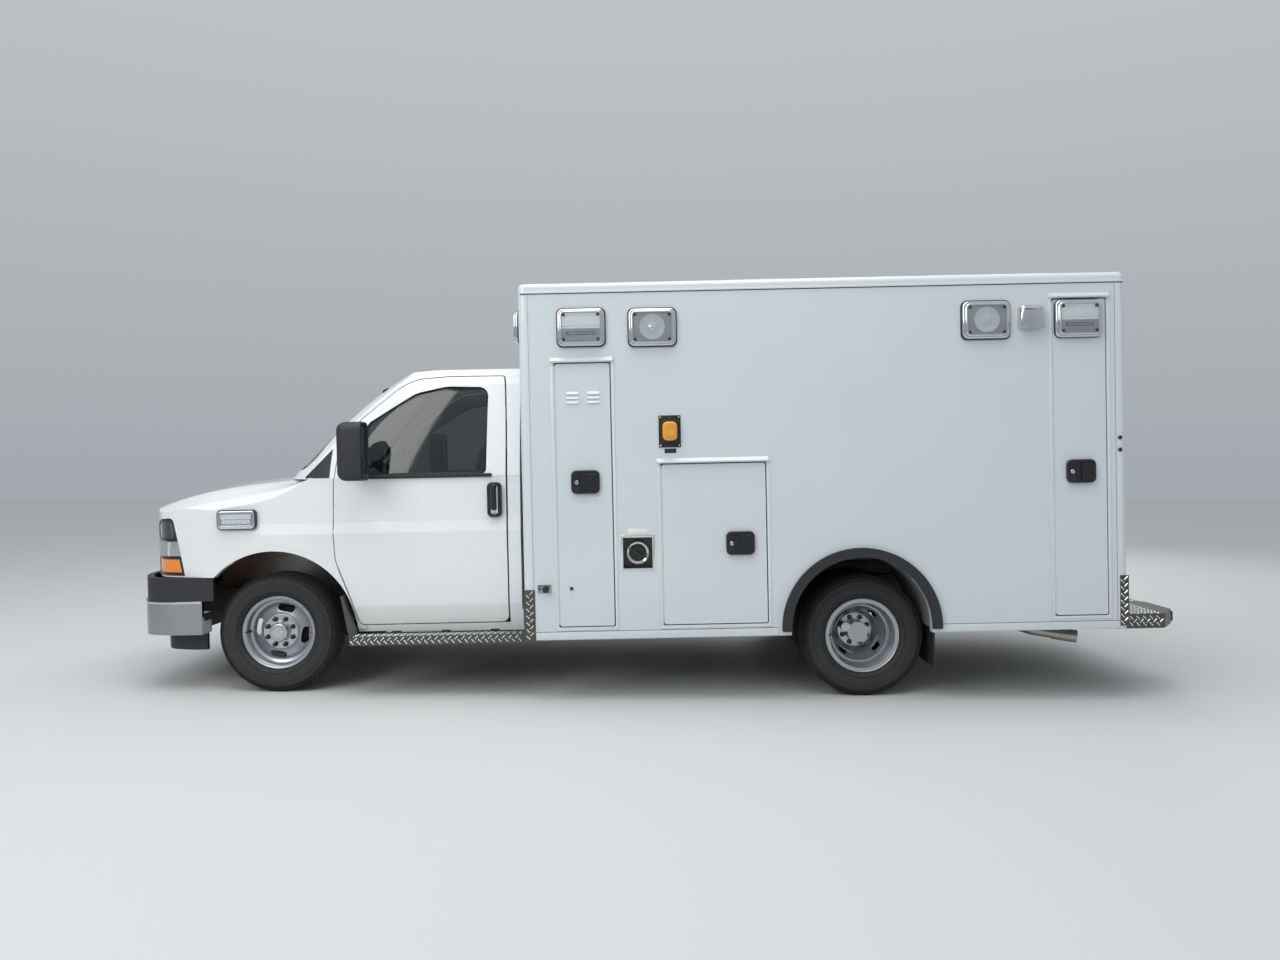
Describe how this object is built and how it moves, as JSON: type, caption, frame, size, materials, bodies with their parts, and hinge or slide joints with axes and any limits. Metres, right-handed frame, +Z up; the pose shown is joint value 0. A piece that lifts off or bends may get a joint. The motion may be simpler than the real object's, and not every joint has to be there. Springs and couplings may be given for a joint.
{
  "type": "box-bodied ambulance",
  "caption": "Box-bodied ambulance on a van cab with twin rear wheels, hinged doors, compartments and a rear step.",
  "frame": {"origin": "on the ground under the middle of the vehicle's bounding box", "axes": "-X is the direction of travel, +Y is the vehicle's right side, +Z is up"},
  "size_m": [6.4839, 2.52, 2.5068],
  "materials": {
    "white_paint": "gloss white cab paint",
    "box_paint": "gloss white box paint",
    "liner_metal": "mill finish compartment sheet",
    "tread_plate": "bright tread plate",
    "glass": "tinted glass",
    "lamp_lens": "clear lens",
    "black_plastic": "grained black plastic",
    "grille_grey": "dark grey plastic with a bright bar",
    "chrome": "chromed bumper",
    "tyre": "black tyre rubber",
    "wheel_paint": "silver wheel paint",
    "cast_iron": "black cast iron",
    "chassis_black": "black chassis paint",
    "rubber": "black rubber",
    "floor_grey": "grey floor covering",
    "seat_fabric": "grey seat cloth",
    "furniture": "pale cabinet laminate"
  },
  "bodies": {
    "vehicle": {"front_fenders": "white_paint", "cab_shell": "white_paint", "box_wall_left": "box_paint", "box_wall_right": "box_paint", "box_wall_front": "box_paint", "box_wall_rear": "box_paint", "box_frame": "box_paint", "box_roof": "box_paint", "compartments_left": "liner_metal", "compartments_right": "liner_metal", "bright_trim": "tread_plate", "rear_step": "tread_plate", "windscreen": "glass", "headlamps": "lamp_lens", "warning_lamps": "lamp_lens", "bumper_cover": "black_plastic", "dashboard": "black_plastic", "grille": "grille_grey", "front_bumper": "chrome", "axles": "cast_iron", "frame_rails": "chassis_black", "cross_members": "chassis_black", "fuel_tank": "chassis_black", "engine_and_exhaust": "chassis_black", "arch_flares": "rubber", "cab_boot": "rubber", "cab_floor": "floor_grey", "box_floor": "floor_grey", "cab_seats": "seat_fabric", "patient_furniture": "furniture"},
    "cab_door_left_body": {"cab_door_left": "white_paint", "cab_door_glass_left": "glass", "mirror_left": "black_plastic"},
    "cab_door_right_body": {"cab_door_right": "white_paint", "cab_door_glass_right": "glass", "mirror_right": "black_plastic"},
    "hood_body": {"hood": "white_paint"},
    "entry_door_body": {"entry_door": "box_paint", "entry_door_glass": "glass"},
    "rear_door_left_body": {"rear_door_left": "box_paint", "rear_door_glass_left": "glass"},
    "rear_door_right_body": {"rear_door_right": "box_paint", "rear_door_glass_right": "glass"},
    "rear_step_body": {"rear_step_centre": "tread_plate"},
    "steering_wheel_body": {"steering_wheel": "black_plastic"},
    "knuckle_left_body": {"knuckle_left": "cast_iron"},
    "knuckle_right_body": {"knuckle_right": "cast_iron"},
    "front_wheel_left_body": {"front_tyre_left": "tyre", "front_wheel_left": "wheel_paint"},
    "front_wheel_right_body": {"front_tyre_right": "tyre", "front_wheel_right": "wheel_paint"},
    "dual_wheel_left_body": {"dual_tyres_left": "tyre", "dual_wheels_left": "wheel_paint"},
    "dual_wheel_right_body": {"dual_tyres_right": "tyre", "dual_wheels_right": "wheel_paint"},
    "compartment_door_l1_body": {"compartment_door_l1": "box_paint"},
    "compartment_door_l2_body": {"compartment_door_l2": "box_paint"},
    "compartment_door_l3_body": {"compartment_door_l3": "box_paint"},
    "compartment_door_r1_body": {"compartment_door_r1": "box_paint"},
    "compartment_door_r3_body": {"compartment_door_r3": "box_paint"}
  },
  "joints": [
    {"name": "cab_door_left_hinge", "type": "hinge", "parent": "vehicle", "child": "cab_door_left_body", "pos_m": [-1.90721, -1.006, 0.90753], "axis": [0.0209, 0, -0.9998], "range_deg": [0, 65]},
    {"name": "cab_door_right_hinge", "type": "hinge", "parent": "vehicle", "child": "cab_door_right_body", "pos_m": [-1.90721, 1.006, 0.90753], "axis": [-0.0209, 0, 0.9998], "range_deg": [0, 65]},
    {"name": "hood_hinge", "type": "hinge", "parent": "vehicle", "child": "hood_body", "pos_m": [-2.34691, 0, 1.31841], "axis": [0, 1, 0], "range_deg": [0, 50]},
    {"name": "compartment_door_l1_hinge", "type": "hinge", "parent": "vehicle", "child": "compartment_door_l1_body", "pos_m": [-0.54012, -1.2065, 1.20423], "axis": [0.0209, 0, -0.9998], "range_deg": [0, 100]},
    {"name": "compartment_door_l2_hinge", "type": "hinge", "parent": "vehicle", "child": "compartment_door_l2_body", "pos_m": [0.07399, -1.2065, 0.91902], "axis": [0.0209, 0, -0.9998], "range_deg": [0, 100]},
    {"name": "compartment_door_l3_hinge", "type": "hinge", "parent": "vehicle", "child": "compartment_door_l3_body", "pos_m": [2.3489, -1.2065, 1.42478], "axis": [0.0209, 0, -0.9998], "range_deg": [0, 100]},
    {"name": "compartment_door_r1_hinge", "type": "hinge", "parent": "vehicle", "child": "compartment_door_r1_body", "pos_m": [-0.61186, 1.2065, 1.28674], "axis": [-0.0209, 0, 0.9998], "range_deg": [0, 100]},
    {"name": "compartment_door_r3_hinge", "type": "hinge", "parent": "vehicle", "child": "compartment_door_r3_body", "pos_m": [2.1077, 1.2065, 1.09715], "axis": [-0.0209, 0, 0.9998], "range_deg": [0, 100]},
    {"name": "entry_door_hinge", "type": "hinge", "parent": "vehicle", "child": "entry_door_body", "pos_m": [0.00154, 1.2065, 1.3696], "axis": [-0.0209, 0, 0.9998], "range_deg": [0, 100]},
    {"name": "rear_door_left_hinge", "type": "hinge", "parent": "vehicle", "child": "rear_door_left_body", "pos_m": [2.7702, -0.593, 1.60564], "axis": [0.0209, 0, -0.9998], "range_deg": [0, 105]},
    {"name": "rear_door_right_hinge", "type": "hinge", "parent": "vehicle", "child": "rear_door_right_body", "pos_m": [2.7702, 0.593, 1.60564], "axis": [-0.0209, 0, 0.9998], "range_deg": [0, 105]},
    {"name": "rear_step_hinge", "type": "hinge", "parent": "vehicle", "child": "rear_step_body", "pos_m": [2.80795, 0, 0.48618], "axis": [0, -1, 0], "range_deg": [0, 90]},
    {"name": "steering_left", "type": "hinge", "parent": "vehicle", "child": "knuckle_left_body", "pos_m": [-2.25728, -0.735, 0.362], "axis": [0, 0, 1], "range_deg": [-33, 33]},
    {"name": "front_wheel_left_spin", "type": "hinge", "parent": "knuckle_left_body", "child": "front_wheel_left_body", "pos_m": [-2.25728, -0.873, 0.362], "axis": [0, 1, 0], "continuous": true},
    {"name": "dual_wheel_left_spin", "type": "hinge", "parent": "vehicle", "child": "dual_wheel_left_body", "pos_m": [1.27372, -0.972, 0.362], "axis": [0, 1, 0], "continuous": true},
    {"name": "steering_right", "type": "hinge", "parent": "vehicle", "child": "knuckle_right_body", "pos_m": [-2.25728, 0.735, 0.362], "axis": [0, 0, 1], "range_deg": [-33, 33]},
    {"name": "front_wheel_right_spin", "type": "hinge", "parent": "knuckle_right_body", "child": "front_wheel_right_body", "pos_m": [-2.25728, 0.873, 0.362], "axis": [0, 1, 0], "continuous": true},
    {"name": "dual_wheel_right_spin", "type": "hinge", "parent": "vehicle", "child": "dual_wheel_right_body", "pos_m": [1.27372, 0.972, 0.362], "axis": [0, 1, 0], "continuous": true},
    {"name": "steering_wheel_turn", "type": "hinge", "parent": "vehicle", "child": "steering_wheel_body", "pos_m": [-1.64443, -0.45, 1.30312], "axis": [0.512, 0, 0.859], "range_deg": [-530, 530]}
  ],
  "couplings": [
    {"joint": "steering_right", "follows": "steering_left", "ratio": 1},
    {"joint": "steering_wheel_turn", "follows": "steering_left", "ratio": 16}
  ]
}
